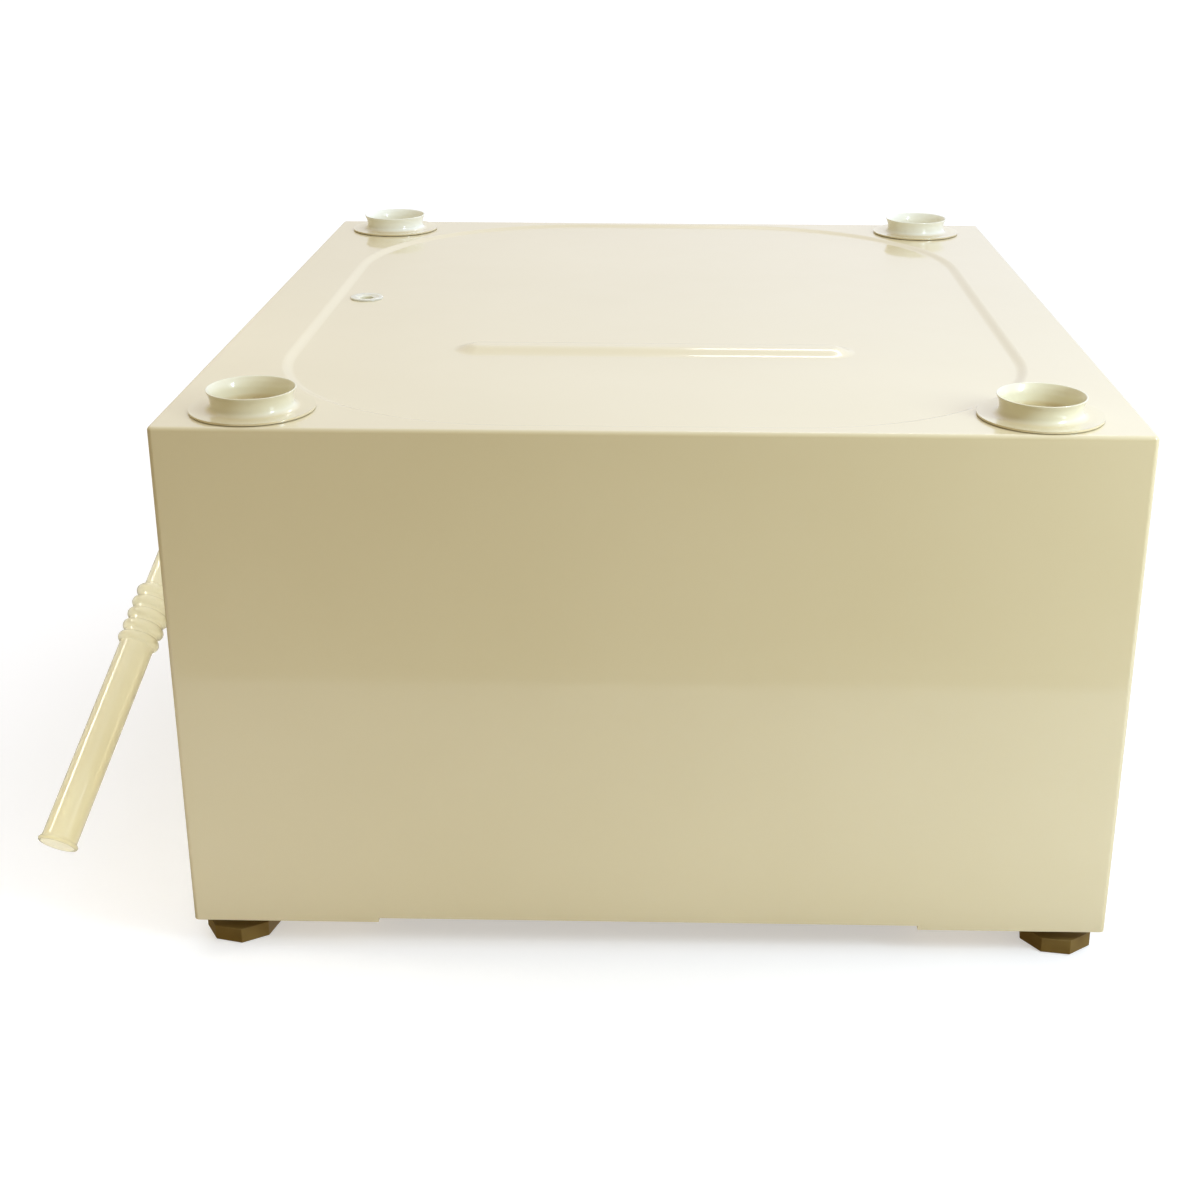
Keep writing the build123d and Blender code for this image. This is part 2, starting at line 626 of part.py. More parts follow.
pieces = {
    "deck_pan": make_deck_pan(),
    "front_panel": make_front_panel(),
    "left_side_panel": make_side_panel(-1),
    "right_side_panel": make_side_panel(1),
    "rear_panel": make_rear_panel(),
    "rear_base_rail": make_rear_base_rail(),
    "rear_screws": make_rear_screws(),
    "front_deck_beam": make_deck_beam(-1),
    "rear_deck_beam": make_deck_beam(1),
    "deck_pads": make_deck_pads(),
    "drain_spigot": make_drain_spigot(),
    "drain_gasket": make_drain_gasket(),
    "drain_nut": make_drain_nut(),
    "drain_tube": make_drain_tube(),
    "upper_tube_clip": make_upper_tube_clip(),
    "lower_tube_clip": make_lower_tube_clip(),
    "outlet_socket": make_outlet_socket(),
    "outlet_gasket": make_outlet_gasket(),
    "outlet_nut": make_outlet_nut(),
    "spout_elbow": make_spout_elbow(),
    "elbow_seal": make_elbow_seal(),
    "drain_hose": make_drain_hose(),
}
for corner, (side, end) in CORNERS.items():
    pieces["corner_post_" + corner] = make_corner_post(side, end)
    pieces["foot_plate_" + corner] = make_foot_plate(side, end)
    pieces["foot_bush_" + corner] = make_foot_bush(side, end)
    pieces["foot_cup_" + corner] = make_foot_cup(side, end)
    pieces["foot_base_" + corner] = make_foot_base(side, end, FOOT_TURN[corner])
    pieces["foot_sole_" + corner] = make_foot_sole(side, end)
    pieces["foot_stud_" + corner] = make_foot_stud(side, end)
    pieces["lock_nut_" + corner] = make_lock_nut(side, end)

for name, piece in pieces.items():
    export_step(piece, "parts/" + name + ".step")
print(len(pieces), "pieces")
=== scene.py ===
# %% [markdown]
# # Laundry pedestal
# A pedestal is a low steel box that lifts a laundry machine to a handier height. This one has a drip pan
# pressed into its deck, four cups that hold the machine's feet, four screw feet and a drain spout. The
# solid model comes in first as a fixed frame. Every piece made here takes its place from that frame, so
# nothing has to be fitted by eye afterwards.

# %% Load the frame
import math

import bmesh
import bpy
from mathutils import Matrix, Vector


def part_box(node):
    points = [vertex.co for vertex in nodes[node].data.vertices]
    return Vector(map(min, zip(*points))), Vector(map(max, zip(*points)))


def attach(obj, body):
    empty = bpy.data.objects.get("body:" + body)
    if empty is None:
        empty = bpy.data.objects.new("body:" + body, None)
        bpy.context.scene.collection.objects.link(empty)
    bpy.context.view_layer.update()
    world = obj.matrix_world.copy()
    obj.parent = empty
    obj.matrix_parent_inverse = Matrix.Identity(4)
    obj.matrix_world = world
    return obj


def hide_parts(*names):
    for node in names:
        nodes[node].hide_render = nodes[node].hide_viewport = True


MM = 0.001
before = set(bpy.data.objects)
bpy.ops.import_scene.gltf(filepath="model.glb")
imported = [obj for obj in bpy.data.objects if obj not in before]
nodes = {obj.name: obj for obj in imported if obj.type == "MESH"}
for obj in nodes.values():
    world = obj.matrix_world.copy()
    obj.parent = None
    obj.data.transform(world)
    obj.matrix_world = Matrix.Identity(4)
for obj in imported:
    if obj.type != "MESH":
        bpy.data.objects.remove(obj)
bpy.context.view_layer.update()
CORNERS = ("front_left", "front_right", "rear_left", "rear_right")

# %% [markdown]
# ## Camera
# The photograph looks slightly down on the front from a little right of the middle. Place, turn and lens
# were worked out from the corners of the cabinet. A photograph that was cropped has its optical axis away
# from the middle of the picture, and the two small shifts of the lens stand for that.

# %% Camera
CAMERA_PLACE = Vector((11.6, -1506.7, 761.5)) * MM
CAMERA_TURN = 1.0365
CAMERA_PITCH = 20.576
CAMERA_ROLL = 0.2366
PICTURE = 1200
FOCAL_PIXELS = 1741.7
AXIS_PIXEL = (637.4, 532.6)


def aim(turn, pitch, roll):
    """Rotation of a camera that is turned about z, then pitched down from level, then rolled."""
    level = Matrix.Rotation(math.radians(turn), 4, "Z")
    down = Matrix.Rotation(math.radians(90 - pitch), 4, "X")
    return level @ down @ Matrix.Rotation(math.radians(roll), 4, "Z")


lens = bpy.data.cameras.new("photo_camera")
lens.sensor_width = 36
lens.lens = FOCAL_PIXELS / PICTURE * lens.sensor_width
lens.shift_x = 0.5 - AXIS_PIXEL[0] / PICTURE
lens.shift_y = AXIS_PIXEL[1] / PICTURE - 0.5
camera = bpy.data.objects.new("photo_camera", lens)
camera.matrix_world = Matrix.Translation(CAMERA_PLACE) @ aim(CAMERA_TURN, CAMERA_PITCH, CAMERA_ROLL)
bpy.context.scene.collection.objects.link(camera)
bpy.context.scene.camera = camera
print("camera: lens", round(lens.lens, 1), "mm, shift", round(lens.shift_x, 4), round(lens.shift_y, 4))

# %% [markdown]
# ## From a bmesh to a piece
# Each piece below is shaped in a bmesh, Blender's mesh for editing. This helper turns it into an object,
# shades it smooth but keeps hard edges hard, hangs it on the body that carries it, and hides the plain
# solid that it stands for. The Weighted Normal modifier lets the large flat faces decide the shading, as on
# pressed sheet.

# %% Piece helper
HARD_EDGE = math.radians(32)
MERGE = 0.002 * MM


def make_piece(name, bm, material, body, slot, *stands_for, weighted=True):
    """Object made from a bmesh, riding on a body in place of some nodes of the frame."""
    mesh = bpy.data.meshes.new(name)
    bm.to_mesh(mesh)
    bm.free()
    mesh.shade_smooth()
    mesh.set_sharp_from_angle(angle=HARD_EDGE)
    mesh.materials.append(material)
    piece = bpy.data.objects.new(name, mesh)
    bpy.context.scene.collection.objects.link(piece)
    if weighted:
        normals = piece.modifiers.new("flat faces lead", "WEIGHTED_NORMAL")
        normals.keep_sharp = True
    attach(piece, body)
    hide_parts(*stands_for)
    print(name, "has", len(mesh.polygons), "faces")
    return piece


def tidy(bm):
    """Merges doubled vertices and turns all faces outwards."""
    bmesh.ops.remove_doubles(bm, verts=bm.verts[:], dist=MERGE)
    bmesh.ops.recalc_face_normals(bm, faces=bm.faces[:])
    return bm


# %% [markdown]
# ## Finishes
# A finish is a small node tree. Noise on Object coordinates gives each one its colour variation, its change
# of gloss and its fine relief. All pieces share the frame's origin, so a pattern runs on from one to the
# next.

# %% Node helpers
def new_finish(name, colour, roughness, constants=None):
    """Material with one Principled shader, whose even values are set on its own sockets."""
    material = bpy.data.materials.new(name)
    material.use_nodes = True
    shader = material.node_tree.nodes["Principled BSDF"]
    values = {"Base Color": (*colour, 1), "Roughness": roughness, **(constants or {})}
    for socket, value in values.items():
        shader.inputs[socket].default_value = value
    return material


def add_noise(material, scale, detail=2, stretch=(1, 1, 1)):
    """Noise on Object coordinates, with its size in lumps a metre. Returns the height socket."""
    tree = material.node_tree
    place = tree.nodes.new("ShaderNodeTexCoord")
    mapping = tree.nodes.new("ShaderNodeMapping")
    mapping.inputs["Scale"].default_value = stretch
    noise = tree.nodes.new("ShaderNodeTexNoise")
    noise.inputs["Scale"].default_value = scale
    noise.inputs["Detail"].default_value = detail
    tree.links.new(place.outputs["Object"], mapping.inputs["Vector"])
    tree.links.new(mapping.outputs["Vector"], noise.inputs["Vector"])
    return noise.outputs["Fac"]


def add_cells(material, scale):
    """Crystal-like cells on Object coordinates. Returns the socket of each cell's own colour."""
    tree = material.node_tree
    place = tree.nodes.new("ShaderNodeTexCoord")
    cells = tree.nodes.new("ShaderNodeTexVoronoi")
    cells.inputs["Scale"].default_value = scale
    tree.links.new(place.outputs["Object"], cells.inputs["Vector"])
    return cells.outputs["Color"]


def tint(material, height, low, high, start=0.15, end=0.85):
    """Base colour that goes from low to high with a height."""
    tree = material.node_tree
    ramp = tree.nodes.new("ShaderNodeValToRGB")
    for element, position, colour in zip(ramp.color_ramp.elements, (start, end), (low, high)):
        element.position = position
        element.color = (*colour, 1)
    tree.links.new(height, ramp.inputs["Fac"])
    tree.links.new(ramp.outputs["Color"], tree.nodes["Principled BSDF"].inputs["Base Color"])


def gloss(material, height, smooth, rough):
    """Roughness that goes from smooth to rough with a height."""
    tree = material.node_tree
    span = tree.nodes.new("ShaderNodeMapRange")
    span.clamp = False
    span.inputs["To Min"].default_value = smooth
    span.inputs["To Max"].default_value = rough
    tree.links.new(height, span.inputs["Value"])
    tree.links.new(span.outputs["Result"], tree.nodes["Principled BSDF"].inputs["Roughness"])


def relief(material, height, depth, strength=1.0, below=None):
    """Bump of a depth in metres, laid over the normal of another if one is given. Returns its normal."""
    tree = material.node_tree
    bump = tree.nodes.new("ShaderNodeBump")
    bump.inputs["Distance"].default_value = depth
    bump.inputs["Strength"].default_value = strength
    tree.links.new(height, bump.inputs["Height"])
    if below:
        tree.links.new(below, bump.inputs["Normal"])
    tree.links.new(bump.outputs["Normal"], tree.nodes["Principled BSDF"].inputs["Normal"])
    return bump.outputs["Normal"]


# %% [markdown]
# ### Baked enamel
# The sheet is sprayed and baked. Close up such paint has a faint orange-peel skin about two millimetres
# across, and the sheet under it is never quite flat, which softens reflections. A clear coat over a duller
# base gives the wet-looking gloss. The flanges of the cups have the colour of the deck. Their collars get a
# cooler, paler colour, which is painted reflection on what is the deck's paint, and a fade along y paints
# more light on them towards the rear, where the bright deck lights them. A fade along z keeps the flanges
# the colour of the deck, so two fades along the axes of the frame are laid over their paint.

# %% Baked enamel
def baked_enamel(name, low, high):
    paint = new_finish(name, high, 0.3, {"Coat Weight": 0.85, "Coat Roughness": 0.06})
    tint(paint, add_noise(paint, 5), low, high)
    gloss(paint, add_noise(paint, 30), 0.27, 0.33)
    waves = relief(paint, add_noise(paint, 9, detail=0), 0.1 * MM, 0.5)
    relief(paint, add_noise(paint, 420, detail=0), 0.008 * MM, 0.5, below=waves)
    return paint


def fade(material, axis, start, end, colour):
    """Lays a colour over the base colour, from none of it at the start to all of it at the end of an axis."""
    tree = material.node_tree
    base = tree.nodes["Principled BSDF"].inputs["Base Color"]
    below = base.links[0].from_socket
    place = tree.nodes.new("ShaderNodeTexCoord")
    parts = tree.nodes.new("ShaderNodeSeparateXYZ")
    span = tree.nodes.new("ShaderNodeMapRange")
    span.inputs["From Min"].default_value = start
    span.inputs["From Max"].default_value = end
    mix = tree.nodes.new("ShaderNodeMix")
    mix.data_type = "RGBA"
    mix.inputs["B"].default_value = (*colour, 1)
    tree.links.new(place.outputs["Object"], parts.inputs["Vector"])
    tree.links.new(parts.outputs[axis], span.inputs["Value"])
    tree.links.new(span.outputs["Result"], mix.inputs["Factor"])
    tree.links.new(below, mix.inputs["A"])
    tree.links.new(mix.outputs["Result"], base)


# Span along y of the painted light on the cup collars, which turn paler towards the rear.
CUP_PAINTED_LIGHT_Y = (-100 * MM, 300 * MM)
CUP_FADE_Z = (416 * MM, 413.5 * MM)
sheet_paint = baked_enamel("baked_enamel", (0.695, 0.605, 0.37), (0.735, 0.645, 0.41))
# The collars' cooler, paler colour is painted reflection: the real cups carry the same paint as the deck.
cup_paint = baked_enamel("cup_enamel_with_painted_light", (0.745, 0.71, 0.52), (0.785, 0.75, 0.56))
# Painted light: the collars grow paler towards the rear, where the bright deck lights them.
fade(cup_paint, "Y", *CUP_PAINTED_LIGHT_Y, (0.94, 0.96, 0.87))
fade(cup_paint, "Z", *CUP_FADE_Z, (0.715, 0.625, 0.39))
print("enamels:", sheet_paint.name, cup_paint.name)

# %% [markdown]
# ### Steel without paint
# The hidden frame is galvanised sheet, known by its spangle: flat zinc crystals about a centimetre across,
# each with its own shade. Screws, studs and nuts are zinc plated, so they have no crystals, only fine
# drawing marks.

# %% Steel
def galvanised_sheet():
    zinc = new_finish("galvanised_sheet", (0.62, 0.63, 0.63), 0.4, {"Metallic": 1.0})
    spangle = add_cells(zinc, 95)
    tint(zinc, spangle, (0.50, 0.51, 0.52), (0.72, 0.73, 0.73), 0.1, 0.9)
    gloss(zinc, spangle, 0.32, 0.5)
    relief(zinc, add_noise(zinc, 240), 0.03 * MM, 0.5)
    return zinc


def plated_steel():
    plate = new_finish("zinc_plated_steel", (0.74, 0.73, 0.68), 0.3, {"Metallic": 1.0})
    tint(plate, add_noise(plate, 60), (0.64, 0.63, 0.58), (0.80, 0.79, 0.74))
    marks = add_noise(plate, 500, stretch=(1, 1, 6))
    gloss(plate, marks, 0.22, 0.42)
    relief(plate, marks, 0.02 * MM, 0.5)
    return plate


spangled = galvanised_sheet()
plated = plated_steel()
print("steels:", spangled.name, plated.name)

# %% [markdown]
# ### Plastics and rubber
# The feet are a dull moulded plastic with a fine spark-eroded grain. The fittings are a glossier milky
# plastic. The spout is soft and see-through: light enters it, is blurred and leaves again at the far side,
# so it is nearly all transmission through a rough surface. Its wall is crossed four times, so its tint is
# kept very weak, and grows a little deeper towards the mouth. Rubber is almost black and very dull.

# %% Plastics and rubber
HOSE_FADE_Z = (220 * MM, 90 * MM)


def moulded_plastic(name, low, high, smooth, rough, grain):
    plastic = new_finish(name, high, rough)
    tint(plastic, add_noise(plastic, 45), low, high)
    gloss(plastic, add_noise(plastic, 110), smooth, rough)
    relief(plastic, add_noise(plastic, 900, detail=0), grain, 0.3)
    return plastic


def milky_plastic(name, low, high):
    milky = new_finish(name, high, 0.2, {
        "Subsurface Weight": 0.7, "Subsurface Radius": (1.0, 0.95, 0.8), "Subsurface Scale": 8 * MM})
    tint(milky, add_noise(milky, 45), low, high)
    gloss(milky, add_noise(milky, 110), 0.16, 0.24)
    return milky


def clear_hose_plastic():
    hose = new_finish("clear_hose_plastic", (0.97, 0.94, 0.81), 0.2, {
        "Transmission Weight": 0.9, "IOR": 1.08, "Coat Weight": 0.8, "Coat Roughness": 0.14, "Coat IOR": 1.4})
    tint(hose, add_noise(hose, 22, detail=0), (0.965, 0.935, 0.765), (0.985, 0.955, 0.795))
    gloss(hose, add_noise(hose, 70, detail=0), 0.33, 0.42)
    fade(hose, "Z", *HOSE_FADE_Z, (0.945, 0.90, 0.70))
    return hose


foot_plastic = moulded_plastic(
    "foot_moulding", (0.165, 0.103, 0.02), (0.215, 0.138, 0.029), 0.5, 0.62, 0.01 * MM)
fitting_plastic = moulded_plastic(
    "fitting_moulding", (0.66, 0.66, 0.52), (0.71, 0.71, 0.58), 0.22, 0.32, 0.005 * MM)
drain_plastic = milky_plastic("drain_moulding", (0.80, 0.76, 0.58), (0.84, 0.80, 0.62))
tube_plastic = moulded_plastic(
    "inner_tube_plastic", (0.60, 0.60, 0.56), (0.68, 0.68, 0.64), 0.3, 0.42, 0.01 * MM)
rubber = moulded_plastic(
    "black_rubber", (0.018, 0.018, 0.017), (0.035, 0.034, 0.032), 0.6, 0.8, 0.02 * MM)
hose_plastic = clear_hose_plastic()
plastics = (foot_plastic, fitting_plastic, drain_plastic, tube_plastic, rubber, hose_plastic)
print("plastics:", *[plastic.name for plastic in plastics])

# %% [markdown]
# ## Drain hose
# The spout is one straight soft tube, 302 mm long, with five bellows ribs and a flared mouth. A spline
# gives its centre line. A ring of edges is then drawn along that line: each station extrudes the ring,
# moves it on and changes its radius. The ring runs out along the outside, turns round the lip and comes
# back as the bore.

# %% Route of the hose
HOSE_EXIT = Vector((-377.198, -160.843, 281.328)) * MM
HOSE_STRAIGHT = Vector((-404.434, -256.958, 196.584)) * MM
HOSE_MOUTH = Vector((-439.987, -382.426, 85.977)) * MM
HOSE_LENGTH = 302 * MM


def read_route(points):
    """Points along the smooth spline that has the given control points."""
    curve = bpy.data.curves.new("hose_route", "CURVE")
    curve.dimensions = "3D"
    spline = curve.splines.new("NURBS")
    spline.points.add(len(points) - 1)
    for point, place in zip(spline.points, points):
        point.co = (*place, 1)
    spline.order_u = 3
    spline.use_endpoint_u = True
    guide = bpy.data.objects.new("hose_route", curve)
    line = bpy.data.meshes.new_from_object(guide)
    route = [vertex.co.copy() for vertex in line.vertices]
    bpy.data.objects.remove(guide)
    bpy.data.curves.remove(curve)
    bpy.data.meshes.remove(line)
    return route


hose_route = read_route([HOSE_EXIT, HOSE_STRAIGHT, HOSE_MOUTH])
steps = [(b - a).length for a, b in zip(hose_route, hose_route[1:])]
print("hose route:", len(hose_route), "points,", round(sum(steps) / MM, 1), "mm")

# %% Sections of the hose
HOSE_WALL = 1.3 * MM
HOSE_TOP_R = 12 * MM
HOSE_TOP_L = 84.8 * MM
RIB_COUNT = 5
RIB_PITCH = 10.4 * MM
RIB_GROOVE = 1.6 * MM
RIB_VALLEY_R = 11.8 * MM
RIB_CREST_R = 16.3 * MM
RIB_STEPS = 12
LAST_GROOVE = 0.5 * MM
HOSE_LOW_R = 13.3 * MM
LIP_L = 5.2 * MM
LIP_R = 15.2 * MM
LIP_FLARE = (0.2, 0.35, 0.5)
LIP_ROUND = ((2.0, 0.0), (1.0, 0.15), (0.4, 0.5), (0.0, 1.0))
HOSE_SIDES = 64


def hose_sections():
    """Distance along the hose and outside radius of each ring, from the elbow to the mouth."""
    sections = [(0, HOSE_TOP_R), (HOSE_TOP_L, HOSE_TOP_R)]
    for rib in range(RIB_COUNT):
        start = HOSE_TOP_L + rib * RIB_PITCH + RIB_GROOVE / 2
        for step in range(RIB_STEPS):
            share = (step + 0.5) / RIB_STEPS
            swell = math.sqrt(1 - (2 * share - 1) ** 2)
            radius = RIB_VALLEY_R + (RIB_CREST_R - RIB_VALLEY_R) * swell
            sections.append((start + share * (RIB_PITCH - RIB_GROOVE), radius))
    low_start = HOSE_TOP_L + RIB_COUNT * RIB_PITCH
    lip_start = HOSE_LENGTH - LIP_L
    sections += [(low_start + LAST_GROOVE, HOSE_LOW_R), (lip_start, HOSE_LOW_R)]
    for share in LIP_FLARE:
        flare = (LIP_R - HOSE_LOW_R) * 3 * share ** 2
        sections.append((lip_start + share * LIP_L, HOSE_LOW_R + flare))
    for short, sunk in LIP_ROUND:
        sections.append((HOSE_LENGTH - short * MM, LIP_R - sunk * MM))
    return sections


def route_place(route, distance):
    """Matrix on a route at a distance along it, with its z axis along the route."""
    for start, end in zip(route, route[1:]):
        run = end - start
        if distance <= run.length or end is route[-1]:
            break
        distance -= run.length
    turn = run.to_track_quat("Z", "X").to_matrix().to_4x4()
    return Matrix.Translation(start + run.normalized() * distance) @ turn


def verts_in(geom):
    """Vertices among what an operator made."""
    return [part for part in geom if isinstance(part, bmesh.types.BMVert)]


def edges_in(geom):
    """Edges among what an operator made."""
    return [part for part in geom if isinstance(part, bmesh.types.BMEdge)]


def draw_ring(bm, ring, place, radius):
    """Extrudes a ring of edges to a new place and radius, and returns the new ring."""
    made = bmesh.ops.extrude_edge_only(bm, edges=ring)["geom"]
    centre = sum((v.co for e in ring for v in e.verts), Vector()) / (2 * len(ring))
    old_radius = (ring[0].verts[0].co - centre).length
    verts = verts_in(made)
    bmesh.ops.translate(bm, verts=verts, vec=place.translation - centre)
    shrink = Matrix.Scale(radius / old_radius, 4)
    bmesh.ops.transform(bm, matrix=shrink, space=Matrix.Translation(-place.translation), verts=verts)
    return edges_in(made)


def make_hose():
    bm = bmesh.new()
    outside = hose_sections()
    inside = [(along, radius - HOSE_WALL) for along, radius in reversed(outside)]
    start = route_place(hose_route, 0)
    bmesh.ops.create_circle(bm, segments=HOSE_SIDES, radius=HOSE_TOP_R, matrix=start)
    first = ring = bm.edges[:]
    for along, radius in outside[1:] + inside:
        ring = draw_ring(bm, ring, route_place(hose_route, along), radius)
    bmesh.ops.bridge_loops(bm, edges=first + ring)
    return make_piece("drain_spout_hose", tidy(bm), hose_plastic, "spout", "hose_plastic", "drain_hose",
                      weighted=False)


hose = make_hose()

# %% [markdown]
# ## Deck
# The deck is one pressed sheet: a turned-down skirt, a soft step down into the drip pan, a stiffening rib
# and a hole for the drain. It starts as a box without a bottom, whose edges are bevelled into bends. The
# pan is a rectangle with very large bevelled corners. Insets that sink along an S-shaped curve make its
# step, and the same insets rising make the rib. Solidify gives the skin the thickness of the sheet.

# %% Tools for folded sheet
SHEET = 1.2 * MM
FOLD_R = 4 * MM
BEND_STEPS = 6
CLOSE = 0.01 * MM


def open_box(low, high, keep):
    """Box between two corners of which only the faces with the named normals are kept."""
    bm = bmesh.new()
    bmesh.ops.create_cube(bm, size=1)
    bmesh.ops.scale(bm, vec=high - low, verts=bm.verts[:])
    bmesh.ops.translate(bm, vec=(low + high) / 2, verts=bm.verts[:])
    names = {"left": (-1, 0, 0), "right": (1, 0, 0), "front": (0, -1, 0), "rear": (0, 1, 0), "top": (0, 0, 1)}
    kept = [Vector(names[name]) for name in keep]
    spare = [f for f in bm.faces if all(f.normal.dot(normal) < 0.9 for normal in kept)]
    bmesh.ops.delete(bm, geom=spare, context="FACES")
    return bm


def upright(edge):
    """Whether an edge of a box stands on end."""
    return abs(edge.verts[0].co.z - edge.verts[1].co.z) > 1 * MM


def bend(bm, edges, radius):
    """Rounds edges as a folded sheet is rounded."""
    bmesh.ops.bevel(bm, geom=edges, offset=radius, offset_type="OFFSET", segments=BEND_STEPS, profile=0.5,
                    affect="EDGES", material=-1)


# %% Tools for pressed sheet
RIB_END_STEPS = 20


def round_corners(bm, corners, radius, steps):
    """Rounds corners of a flat face, and returns the face that takes its place."""
    made = bmesh.ops.bevel(bm, geom=corners, offset=radius, offset_type="OFFSET", segments=steps, profile=0.5,
                           affect="VERTICES", material=-1)
    return made["verts"][0].link_faces[0]


def press(bm, face, width, rise, steps=8):
    """Insets a face in steps that rise or sink along an S-shaped curve, as a press tool leaves a sheet."""
    level = 0
    for step in range(1, steps + 1):
        share = step / steps
        goal = rise * share * share * (3 - 2 * share)
        bmesh.ops.inset_region(bm, faces=[face], thickness=width / steps, use_even_offset=True,
                               use_boundary=True)
        bmesh.ops.translate(bm, vec=(0, 0, goal - level), verts=face.verts)
        level = goal


def flat_slot(bm, centre, length, width):
    """Flat face with half-round ends: a disc whose halves are pulled apart."""
    made = bmesh.ops.create_circle(bm, cap_ends=True, segments=2 * RIB_END_STEPS, radius=width / 2)["verts"]
    half_step = Matrix.Rotation(math.pi / (2 * RIB_END_STEPS), 3, "Z")
    bmesh.ops.rotate(bm, verts=made, cent=(0, 0, 0), matrix=half_step)
    pull = (length - width) / 2
    for side in (-1, 1):
        half = [v for v in made if v.co.x * side > 0]
        bmesh.ops.translate(bm, verts=half, vec=(side * pull, 0, 0))
    bmesh.ops.translate(bm, verts=made, vec=centre)
    return made[0].link_faces[0]


def edges_of(verts):
    """Edges that meet a list of vertices, each of them once."""
    return list(dict.fromkeys(edge for vert in verts for edge in vert.link_edges))


# %% Deck
DECK_FOLD_R = 3 * MM
PAN_SIDE = 54 * MM
PAN_FRONT = 11.5 * MM
PAN_REAR = 9 * MM
PAN_FRONT_R = 189 * MM
PAN_REAR_R = 214 * MM
PAN_CORNER_STEPS = 24
PAN_STEP = 10 * MM
PAN_DEPTH = 2.5 * MM
RIB_LENGTH = 322 * MM
RIB_WIDTH = 44 * MM
RIB_SLOPE = 18 * MM
RIB_HEIGHT = 4.5 * MM
RIB_Y = -156 * MM
DRAIN_HOLE_R = 10.2 * MM
DRAIN_HOLE_STEPS = 48


def fold_deck(low, high):
    """Box with rounded folds and an open top and bottom. Returns the bmesh and the rim of the top."""
    bm = open_box(low, high, ("left", "right", "front", "rear", "top"))
    bend(bm, [e for e in bm.edges if upright(e)], FOLD_R)
    rim = [e for e in bm.edges if all(v.co.z > high.z - CLOSE for v in e.verts)]
    bend(bm, rim, DECK_FOLD_R)
    top = max(bm.faces, key=lambda face: face.calc_area())
    outline = top.edges[:]
    bmesh.ops.delete(bm, geom=[top], context="FACES_ONLY")
    return bm, outline


def sink_pan(bm, outline, low, high):
    """Closes the open top round a rectangle with round corners, sinks that and returns it."""
    pan_low = Vector((low.x + PAN_SIDE, low.y + PAN_FRONT, 0))
    pan_high = Vector((high.x - PAN_SIDE, high.y - PAN_REAR, 0))
    size = pan_high - pan_low
    pan_place = Matrix.Translation((pan_low + pan_high) / 2 + Vector((0, 0, high.z)))
    made = bmesh.ops.create_grid(bm, x_segments=1, y_segments=1, size=0.5)["verts"]
    bmesh.ops.transform(bm, matrix=pan_place @ Matrix.Diagonal((size.x, size.y, 1, 1)), verts=made)
    pan = made[0].link_faces[0]
    for edge_y, radius in ((pan_low.y, PAN_FRONT_R), (pan_high.y, PAN_REAR_R)):
        ends = [v for v in pan.verts if abs(v.co.y - edge_y) < CLOSE]
        pan = round_corners(bm, ends, radius, PAN_CORNER_STEPS)
    outline += pan.edges[:]
    bmesh.ops.triangle_fill(bm, edges=outline, use_beauty=True, use_dissolve=False)
    press(bm, pan, PAN_STEP, -PAN_DEPTH)
    return pan


def press_rib(bm, pan, floor_z):
    """Opens the drain hole in the floor of the pan and presses the rib up."""
    holes = pan.edges[:]
    bmesh.ops.delete(bm, geom=[pan], context="FACES_ONLY")
    rib = flat_slot(bm, (0, RIB_Y, floor_z), RIB_LENGTH, RIB_WIDTH)
    holes += rib.edges[:]
    drain_low, drain_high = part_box("drain_spigot")
    drain = (drain_low + drain_high) / 2
    hole = bmesh.ops.create_circle(bm, segments=DRAIN_HOLE_STEPS, radius=DRAIN_HOLE_R,
                                   matrix=Matrix.Translation((drain.x, drain.y, floor_z)))["verts"]
    holes += edges_of(hole)
    bmesh.ops.triangle_fill(bm, edges=holes, use_beauty=True, use_dissolve=False)
    press(bm, rib, RIB_SLOPE, RIB_HEIGHT, steps=6)


def make_deck():
    low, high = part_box("deck_pan")
    high.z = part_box("foot_cup_front_left")[0].z
    bm, outline = fold_deck(low, high)
    pan = sink_pan(bm, outline, low, high)
    press_rib(bm, pan, high.z - PAN_DEPTH)
    bmesh.ops.recalc_face_normals(bm, faces=bm.faces[:])
    bmesh.ops.solidify(bm, geom=bm.faces[:], thickness=SHEET)
    return make_piece("deck", bm, sheet_paint, "cabinet", "painted_sheet", "deck_pan")


make_deck()

# %% [markdown]
# ## Front panel
# The front is a plain sheet that is folded round both corners and inwards along its lower edge. Three faces
# of a box are kept and their shared edges bevelled. Two cuts mark where the lower flange ends, and the edge
# between them is extruded inwards.

# %% Front panel
FRONT_WRAP = 14 * MM
FLANGE = 16 * MM
FLANGE_END = 22 * MM


def make_front():
    low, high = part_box("front_panel")
    wrap = Vector((high.x, low.y + FRONT_WRAP, high.z))
    bm = open_box(low, wrap, ("left", "right", "front"))
    folds = [e for e in bm.edges if upright(e) and all(abs(v.co.y - low.y) < CLOSE for v in e.verts)]
    bend(bm, folds, FOLD_R)
    for side in (-1, 1):
        bmesh.ops.bisect_plane(bm, geom=bm.verts[:] + bm.edges[:] + bm.faces[:],
                               plane_co=(side * (high.x - FLANGE_END), 0, 0), plane_no=(1, 0, 0))
    hem = [e for e in bm.edges if all(v.co.z < low.z + CLOSE and v.co.y < low.y + CLOSE
                                      and abs(v.co.x) < high.x - FLANGE_END + CLOSE for v in e.verts)]
    made = bmesh.ops.extrude_edge_only(bm, edges=hem)["geom"]
    bmesh.ops.translate(bm, vec=(0, FLANGE, 0), verts=verts_in(made))
    bmesh.ops.recalc_face_normals(bm, faces=bm.faces[:])
    bmesh.ops.solidify(bm, geom=bm.faces[:], thickness=SHEET)
    return make_piece("front", bm, sheet_paint, "cabinet", "painted_sheet", "front_panel")


make_front()

